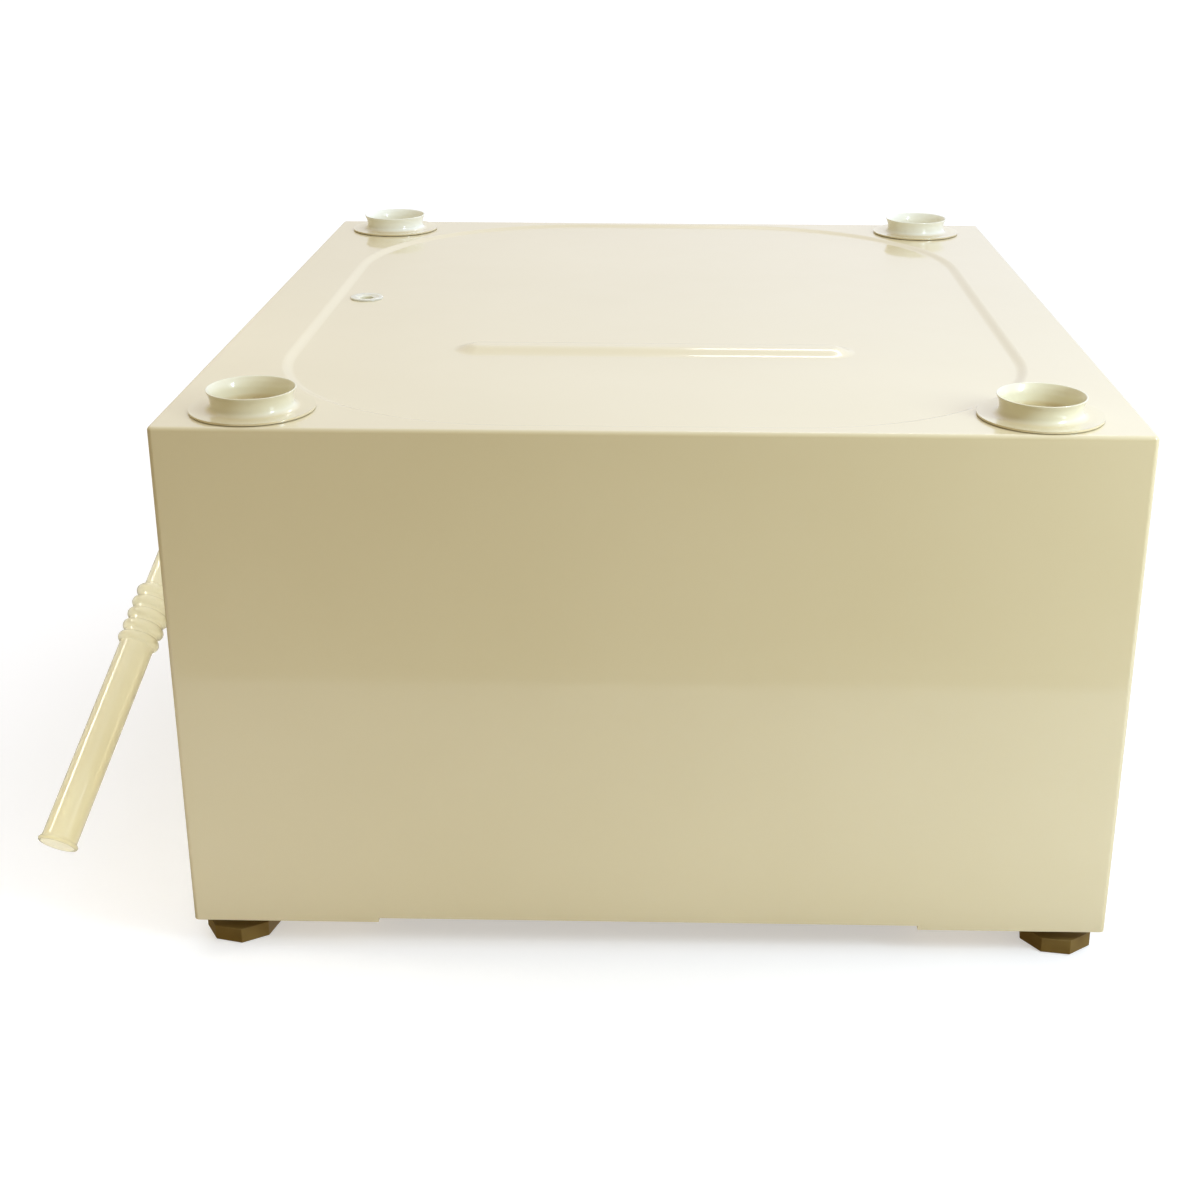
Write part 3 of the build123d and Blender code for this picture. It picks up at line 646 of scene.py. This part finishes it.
# %% [markdown]
# ## Cups for the machine's feet
# Each cup is a spun collar: a wide flange with a lip that curls up, a waist and a flared rim. One section
# of its wall is drawn as a flat face, its corners are rounded, the face is removed and the remaining loop
# of edges is spun once round the cup's axis. The inner wall runs straight down to the deck.

# %% Cups
CUP_SEAT_R = 27.6 * MM
CUP_WALL = 1.4 * MM
CUP_SEAT_TOP = 10.5 * MM
CUP_RIM_R = 31.7 * MM
CUP_LIP = 6 * MM
CUP_LIP_RISE = 0.6 * MM
CUP_LIP_BEND_R = 8 * MM
CUP_BLEND_R = 4.5 * MM
CUP_FLARE_R = 3 * MM
CUP_RIM_ROUND = 0.6 * MM
CUP_STEPS = 96
CORNER_STEPS = 6


def spin_section(bm, points, rounds, axis_x, axis_y, steps):
    """Ring spun about z. Its section is a polygon of radius and height with some corners rounded."""
    corners = [bm.verts.new((axis_x + radius, axis_y, height)) for radius, height in points]
    bm.faces.new(corners)
    for index, radius in rounds.items():
        round_corners(bm, [corners[index]], radius, CORNER_STEPS)
    bmesh.ops.delete(bm, geom=bm.faces[:], context="FACES_ONLY")
    bmesh.ops.spin(bm, geom=bm.verts[:] + bm.edges[:], cent=(axis_x, axis_y, 0), axis=(0, 0, 1),
                   angle=2 * math.pi, steps=steps, use_merge=True)
    return tidy(bm)


def make_cup(corner):
    low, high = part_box("foot_cup_" + corner)
    flange_r = (high.x - low.x) / 2
    lip_r = flange_r - CUP_LIP
    wall_r = CUP_SEAT_R + CUP_WALL
    top = high.z
    section = [
        (flange_r, low.z + CUP_LIP_RISE), (lip_r, low.z), (CUP_SEAT_R, low.z),
        (CUP_SEAT_R, low.z + CUP_SEAT_TOP), (CUP_RIM_R - CUP_WALL, top), (CUP_RIM_R, top),
        (wall_r, low.z + CUP_SEAT_TOP), (wall_r, low.z + CUP_WALL), (lip_r, low.z + CUP_WALL),
        (flange_r, low.z + CUP_LIP_RISE + CUP_WALL),
    ]
    rounds = {1: CUP_LIP_BEND_R, 3: CUP_FLARE_R, 4: CUP_RIM_ROUND, 5: CUP_RIM_ROUND, 6: CUP_FLARE_R,
              7: CUP_BLEND_R, 8: CUP_LIP_BEND_R, 9: CUP_RIM_ROUND, 0: CUP_RIM_ROUND}
    bm = spin_section(bmesh.new(), section, rounds, (low.x + high.x) / 2, (low.y + high.y) / 2, CUP_STEPS)
    return make_piece("cup_" + corner, bm, cup_paint, "cabinet", "cup_paint", "foot_cup_" + corner,
                      weighted=False)


for corner in CORNERS:
    make_cup(corner)

# %% [markdown]
# ## Levelling feet
# A foot is an eight-sided moulded base on a threaded stud, with a rubber sole below and a lock nut above.
# Each is screwed in to its own turn. The base is an eight-sided ring of edges, drawn up, narrowed and
# bevelled, with a round recess below that holds the sole. The thread is one tooth of its section, spun
# round while it climbs a pitch a turn, then cut square at both ends.

# %% Foot bases
FOOT_TURN = {"front_left": -14, "front_right": -9, "rear_left": 11, "rear_right": 25}
FOOT_SIDES = 8
FOOT_ACROSS = 52 * MM
FOOT_SHOULDER = 12 * MM
FOOT_TOP_ACROSS = 26 * MM
FOOT_LOW = 0.6 * MM
FOOT_EDGE = 0.5 * MM
FOOT_EDGE_STEPS = 3
FOOT_HARD = math.radians(20)
SOLE_R = 20.3 * MM
SOLE_RECESS = 2.05 * MM
RECESS_STEPS = 48


def raise_ring(bm, ring, rise, scale=1.0, centre=Vector()):
    """Extrudes a ring of edges straight up, scales it about an upright axis, and returns the new ring."""
    made = bmesh.ops.extrude_edge_only(bm, edges=ring)["geom"]
    verts = verts_in(made)
    bmesh.ops.translate(bm, vec=(0, 0, rise), verts=verts)
    about = Matrix.Translation((-centre.x, -centre.y, 0))
    bmesh.ops.scale(bm, vec=(scale, scale, 1), verts=verts, space=about)
    return edges_in(made)


def foot_centre(corner):
    low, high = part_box("foot_sole_" + corner)
    return (low + high) / 2


def make_foot(corner):
    centre = foot_centre(corner)
    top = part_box("foot_base_" + corner)[1].z
    corner_r = FOOT_ACROSS / 2 / math.cos(math.pi / FOOT_SIDES)
    turn = Matrix.Rotation(math.radians(FOOT_TURN[corner]) + math.pi / FOOT_SIDES, 4, "Z")
    place = Matrix.Translation((centre.x, centre.y, FOOT_LOW)) @ turn
    bm = bmesh.new()
    bmesh.ops.create_circle(bm, segments=FOOT_SIDES, radius=corner_r, matrix=place)
    outline = bm.edges[:]
    recess = bmesh.ops.create_circle(bm, segments=RECESS_STEPS, radius=SOLE_R, matrix=place)["verts"]
    recess_rim = edges_of(recess)
    bmesh.ops.triangle_fill(bm, edges=outline + recess_rim, use_beauty=True)
    bmesh.ops.contextual_create(bm, geom=raise_ring(bm, recess_rim, SOLE_RECESS))
    shoulder = raise_ring(bm, outline, FOOT_SHOULDER)
    neck = raise_ring(bm, shoulder, top - FOOT_LOW - FOOT_SHOULDER, FOOT_TOP_ACROSS / FOOT_ACROSS, centre)
    bmesh.ops.contextual_create(bm, geom=neck)
    bmesh.ops.recalc_face_normals(bm, faces=bm.faces[:])
    on_sides = [e for e in bm.edges if e.calc_face_angle(0) > FOOT_HARD and len(e.link_faces) == 2
                and min((v.co.xy - centre.xy).length for v in e.verts) > SOLE_R + FOOT_EDGE or e in neck]
    bmesh.ops.bevel(bm, geom=on_sides, offset=FOOT_EDGE, offset_type="OFFSET", segments=FOOT_EDGE_STEPS,
                    profile=0.5, affect="EDGES", material=-1)
    return make_piece("foot_" + corner, bm, foot_plastic, "foot_" + corner, "foot_plastic",
                      "foot_base_" + corner)


for corner in CORNERS:
    make_foot(corner)

# %% Threaded studs
THREAD_PITCH = 1.75 * MM
THREAD_DEPTH = 0.95 * MM
THREAD_STEPS = 28
STUD_CHAMFER = 1 * MM


def make_stud(corner):
    low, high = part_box("foot_stud_" + corner)
    centre = (low + high) / 2
    outer = (high.x - low.x) / 2
    inner = outer - THREAD_DEPTH
    turns = math.ceil((high.z - low.z) / THREAD_PITCH) + 2
    tooth = [(inner, 0), (inner, 0.2), (outer, 0.45), (outer, 0.6), (inner, 0.95), (inner, 1)]
    bm = bmesh.new()
    start = low.z - THREAD_PITCH
    points = []
    for radius, rise in tooth:
        points.append(bm.verts.new((centre.x + radius, centre.y, start + rise * THREAD_PITCH)))
    for a, b in zip(points, points[1:]):
        bm.edges.new((a, b))
    bmesh.ops.spin(bm, geom=bm.verts[:] + bm.edges[:], cent=centre, axis=(0, 0, 1),
                   dvec=(0, 0, THREAD_PITCH / THREAD_STEPS), angle=2 * math.pi * turns,
                   steps=THREAD_STEPS * turns)
    bmesh.ops.remove_doubles(bm, verts=bm.verts[:], dist=CLOSE)
    for level, upward in ((low.z, -1), (high.z, 1)):
        cut = bmesh.ops.bisect_plane(bm, geom=bm.verts[:] + bm.edges[:] + bm.faces[:], plane_co=(0, 0, level),
                                     plane_no=(0, 0, upward), clear_outer=True)
        bmesh.ops.contextual_create(bm, geom=edges_in(cut["geom_cut"]))
    for vert in bm.verts:
        reach = outer - max(0, vert.co.z - high.z + STUD_CHAMFER)
        spoke = Vector((vert.co.x - centre.x, vert.co.y - centre.y, 0))
        if spoke.length > reach:
            vert.co -= spoke * (1 - reach / spoke.length)
    return make_piece("stud_" + corner, tidy(bm), plated, "foot_" + corner, "zinc_plate",
                      "foot_stud_" + corner, weighted=False)


for corner in CORNERS:
    make_stud(corner)

# %% [markdown]
# ## Nuts
# A nut is a hexagon with a bore. On the real one a lathe turns its corners off at thirty degrees on both
# faces, which leaves shoulders that catch the light. Here a flat cut takes off each corner in turn.

# %% Lock nuts
NUT_SIDES = 6
NUT_ACROSS = 19 * MM
NUT_BORE_R = 6 * MM
NUT_BORE_STEPS = 36
NUT_SHOULDER = math.radians(30)


def make_nut(corner):
    low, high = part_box("lock_nut_" + corner)
    centre = (low + high) / 2
    height = high.z - low.z
    corner_r = NUT_ACROSS / math.sqrt(3)
    bm = bmesh.new()
    place = Matrix.Translation((centre.x, centre.y, low.z)) @ Matrix.Rotation(math.pi / NUT_SIDES, 4, "Z")
    bmesh.ops.create_circle(bm, segments=NUT_SIDES, radius=corner_r, matrix=place)
    hexagon = bm.edges[:]
    bore = bmesh.ops.create_circle(bm, segments=NUT_BORE_STEPS, radius=NUT_BORE_R, matrix=place)["verts"]
    bmesh.ops.triangle_fill(bm, edges=hexagon + edges_of(bore), use_beauty=True)
    made = bmesh.ops.extrude_face_region(bm, geom=bm.faces[:])["geom"]
    bmesh.ops.translate(bm, vec=(0, 0, height), verts=verts_in(made))
    bmesh.ops.recalc_face_normals(bm, faces=bm.faces[:])
    for index in range(NUT_SIDES):
        angle = 2 * math.pi * index / NUT_SIDES
        spoke = place.to_3x3() @ Vector((math.cos(angle), math.sin(angle), 0))
        for level, upward in ((low.z, -1), (high.z, 1)):
            normal = spoke * math.sin(NUT_SHOULDER) + Vector((0, 0, upward * math.cos(NUT_SHOULDER)))
            edge = Vector((centre.x, centre.y, level)) + spoke * NUT_ACROSS / 2
            cut = bmesh.ops.bisect_plane(bm, geom=bm.verts[:] + bm.edges[:] + bm.faces[:], plane_co=edge,
                                         plane_no=normal, clear_outer=True)
            bmesh.ops.contextual_create(bm, geom=edges_in(cut["geom_cut"]))
    return make_piece("nut_" + corner, tidy(bm), plated, "nut_" + corner, "zinc_plate", "lock_nut_" + corner)


for corner in CORNERS:
    make_nut(corner)

# %% [markdown]
# ## Finishes of the other pieces
# The remaining nodes of the frame already have the right shape: flat panels, posts, beams, pads and pipe
# fittings. They stay as they are and get the finishes made above.

# %% Finish the frame's own nodes
NODE_FINISH = {
    "left_side_panel": sheet_paint, "right_side_panel": sheet_paint, "rear_panel": sheet_paint,
    "rear_base_rail": sheet_paint, "foot_plate": sheet_paint,
    "front_deck_beam": spangled, "rear_deck_beam": spangled, "deck_pads": spangled, "corner_post": spangled,
    "rear_screws": plated, "foot_bush": plated, "upper_tube_clip": plated, "lower_tube_clip": plated,
    "drain_spigot": drain_plastic, "drain_nut": fitting_plastic, "outlet_socket": fitting_plastic,
    "outlet_nut": fitting_plastic, "spout_elbow": fitting_plastic, "drain_tube": tube_plastic,
    "drain_gasket": rubber, "outlet_gasket": rubber, "elbow_seal": rubber, "foot_sole": rubber,
}
dressed = 0
for name, node in nodes.items():
    for start, finish in NODE_FINISH.items():
        if name.startswith(start):
            node.data.materials.clear()
            node.data.materials.append(finish)
            dressed += 1
print("dressed", dressed, "nodes of the frame")

# %% [markdown]
# ## Floor and light
# The pedestal stands on a plain pale floor in soft light. The world is bright and cool above, behind and to
# the right, and dim and warm low in front, which is why the front looks deeper in colour than the deck. To
# keep that control, the floor and a far white wall round it are only seen and throw no light back. A white
# card lies in front of the pedestal instead, out of the camera's sight. It lightens the lower part of the
# front, as a photographer's reflector does. One soft lamp at the right of the camera shades the front from
# left to right and puts the sparkle on the cups. A strip lamp high behind, at the right, draws the bright
# line on the right half of each fold and of the rib. A narrow lamp at the left lies in line with the hose,
# and draws the bright line along it. A grid holds its beam off the cups.

# %% Floor, wall and card
FLOOR_R = 30
FLOOR_LEVEL = -0.05 * MM
PALE_GREYS = ((0.62, 0.62, 0.62), (0.64, 0.64, 0.64))
WALL_H = 25
STAGE_STEPS = 96
CARD_LEVEL = -0.1 * MM
CARD_FRONT = -850 * MM
CARD_REAR = -410 * MM
CARD_WIDTH = 2200 * MM


def pale_finish(name, low, high, glow):
    pale = new_finish(name, high, 0.8, {"Emission Color": (1, 1, 1, 1), "Emission Strength": glow})
    tint(pale, add_noise(pale, 3), low, high)
    relief(pale, add_noise(pale, 300, detail=0), 0.05 * MM, 0.2)
    return pale


def lay_sheet(name, bm, finish, level):
    """Stage piece at a level, which throws no shadow."""
    mesh = bpy.data.meshes.new(name)
    bm.to_mesh(mesh)
    bm.free()
    mesh.materials.append(finish)
    sheet = bpy.data.objects.new(name, mesh)
    sheet.location.z = level
    sheet.visible_shadow = False
    bpy.context.scene.collection.objects.link(sheet)
    return sheet


def make_floor():
    bm = bmesh.new()
    bmesh.ops.create_circle(bm, cap_ends=True, segments=STAGE_STEPS, radius=FLOOR_R)
    sheet = lay_sheet("floor", bm, pale_finish("pale_floor", *PALE_GREYS, 0.45), FLOOR_LEVEL)
    sheet.visible_diffuse = False
    sheet.visible_glossy = False
    return sheet


def make_wall():
    """Bright wall far away all round, which only the camera sees."""
    bm = bmesh.new()
    bmesh.ops.create_circle(bm, segments=STAGE_STEPS, radius=FLOOR_R)
    raise_ring(bm, bm.edges[:], WALL_H)
    wall = lay_sheet("wall", bm, pale_finish("pale_wall", *PALE_GREYS, 1.0), 0)
    wall.visible_diffuse = False
    wall.visible_glossy = False
    wall.visible_transmission = False
    return wall


def make_card():
    bm = bmesh.new()
    bmesh.ops.create_grid(bm, x_segments=1, y_segments=1, size=0.5)
    bmesh.ops.scale(bm, vec=(CARD_WIDTH, CARD_REAR - CARD_FRONT, 1), verts=bm.verts[:])
    bmesh.ops.translate(bm, vec=(0, (CARD_FRONT + CARD_REAR) / 2, 0), verts=bm.verts[:])
    white = pale_finish("white_card", (0.88, 0.88, 0.87), (0.90, 0.90, 0.89), 0.0)
    card = lay_sheet("reflector_card", bm, white, CARD_LEVEL)
    card.visible_camera = False
    card.visible_transmission = False
    return card


floor = make_floor()
wall = make_wall()
card = make_card()
print("stage:", floor.name, wall.name, "and", card.name)

# %% Light
WORLD_LEAN = Vector((0.36, 0.24, 0.45)).normalized()
WORLD_COLOURS = ((0.06, 0.02, 0.0), (0.59, 0.49, 0.28), (1.29, 1.385, 1.63))


def light_world():
    """World whose colour goes from the dim pole, over a warm middle, to the bright pole."""
    world = bpy.data.worlds.new("soft_studio")
    world.use_nodes = True
    tree = world.node_tree
    place = tree.nodes.new("ShaderNodeTexCoord")
    lean = tree.nodes.new("ShaderNodeVectorMath")
    lean.operation = "DOT_PRODUCT"
    lean.inputs[1].default_value = WORLD_LEAN
    share = tree.nodes.new("ShaderNodeMapRange")
    share.inputs["From Min"].default_value = -1
    ramp = tree.nodes.new("ShaderNodeValToRGB")
    ramp.color_ramp.elements.new(0.5)
    for element, colour in zip(ramp.color_ramp.elements, WORLD_COLOURS):
        element.color = (*colour, 1)
    tree.links.new(place.outputs["Generated"], lean.inputs[0])
    tree.links.new(lean.outputs["Value"], share.inputs["Value"])
    tree.links.new(share.outputs["Result"], ramp.inputs["Fac"])
    tree.links.new(ramp.outputs["Color"], tree.nodes["Background"].inputs["Color"])
    bpy.context.scene.world = world
    return world


def add_lamp(name, place, target, width, height, power, colour, along=Vector((0, 0, 1)), spread=180):
    """Soft lamp that faces a target. Its height lies along a direction, and its beam is held to a spread."""
    lamp = bpy.data.lights.new(name, "AREA")
    lamp.shape = "RECTANGLE"
    lamp.size = width
    lamp.size_y = height
    lamp.energy = power
    lamp.color = colour
    lamp.spread = math.radians(spread)
    holder = bpy.data.objects.new(name, lamp)
    back = (Vector(place) - Vector(target)).normalized()
    side = along.cross(back).normalized()
    turn = Matrix((side, back.cross(side), back)).transposed().to_4x4()
    holder.matrix_world = Matrix.Translation(place) @ turn
    holder.visible_camera = False
    bpy.context.scene.collection.objects.link(holder)
    return holder


LAMPS = {
    "key_lamp": {
        "place": (0.92, -0.85, 0.8), "target": (0.1, -0.38, 0.25), "width": 0.17, "height": 0.45,
        "power": 7.2, "colour": (0.70, 0.85, 1.0)},
    "strip_lamp": {
        "place": (0.45, 1.25, 1.75), "target": (0.2, -0.1, 0.41), "width": 0.8, "height": 0.2,
        "power": 3, "colour": (1.0, 1.0, 1.0)},
    "edge_lamp": {
        "place": (-1.47, -0.23, 1.06), "target": (-0.42, -0.30, 0.15), "width": 0.2, "height": 0.6,
        "power": 0.16, "colour": (1.0, 1.0, 1.0), "along": HOSE_MOUTH - HOSE_EXIT, "spread": 20},
}
studio = light_world()
for name, settings in LAMPS.items():
    add_lamp(name, **settings)
bpy.context.scene.view_settings.view_transform = "Standard"
print("light:", studio.name, *LAMPS)
